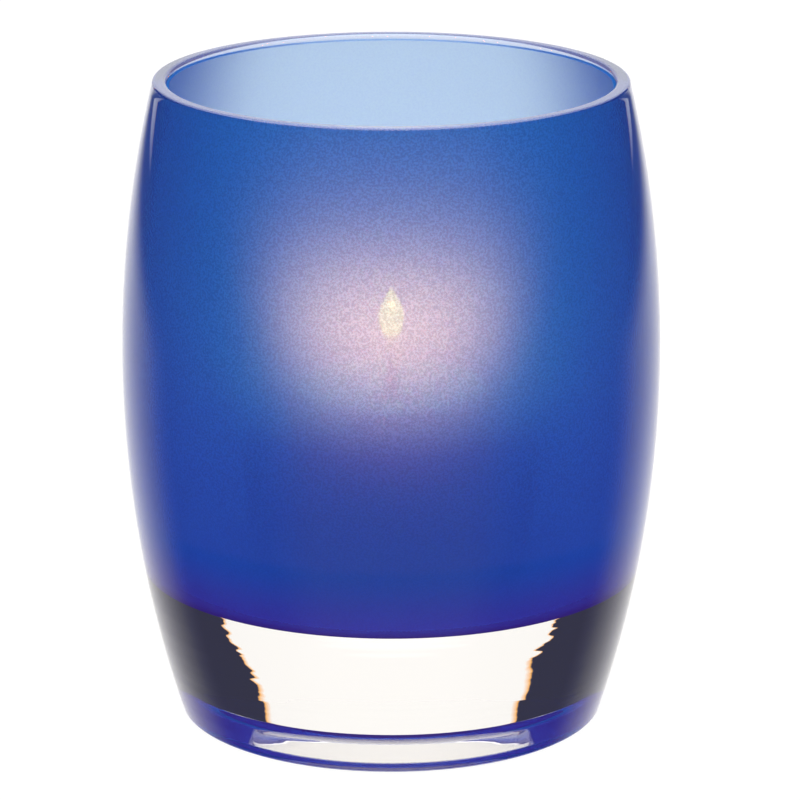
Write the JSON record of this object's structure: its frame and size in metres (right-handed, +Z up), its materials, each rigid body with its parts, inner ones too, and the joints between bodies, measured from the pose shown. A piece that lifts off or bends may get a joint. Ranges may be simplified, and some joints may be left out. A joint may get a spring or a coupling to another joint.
{
  "type": "votive candle holder",
  "caption": "Barrel-shaped votive candle holder of heavy clear glass with a satin blue lining, a lift-out candle cup and a lit votive light.",
  "frame": {"origin": "centre of the foot, on the surface that the holder stands on", "axes": "+Z up along the turning axis, -Y towards the viewer, +X to the right"},
  "size_m": [0.083, 0.083, 0.1],
  "materials": {
    "clear_glass": "clear, fire-polished and glossy, with slow waves in the thick base",
    "blue_satin_glass": "satin blue, finely speckled, lets diffuse light through",
    "clear_cup": "clear and glossy",
    "white_wax": "white wax, translucent and slightly glossy where it has melted",
    "tinned_steel": "tinned sheet steel",
    "charred_cotton": "burnt braided cotton"
  },
  "bodies": {
    "tumbler": {"glass_tumbler": "clear_glass", "blue_lining": "blue_satin_glass"},
    "cup": {"candle_cup": "clear_cup"},
    "candle": {"votive_wax": "white_wax", "wick_sustainer": "tinned_steel", "wick": "charred_cotton"}
  },
  "joints": [
    {"name": "cup_lift", "type": "slide", "parent": "tumbler", "child": "cup", "axis": [0, 0, 1], "range_m": [0, 0.085]},
    {"name": "candle_lift", "type": "slide", "parent": "cup", "child": "candle", "axis": [0, 0, 1], "range_m": [0, 0.085]}
  ]
}
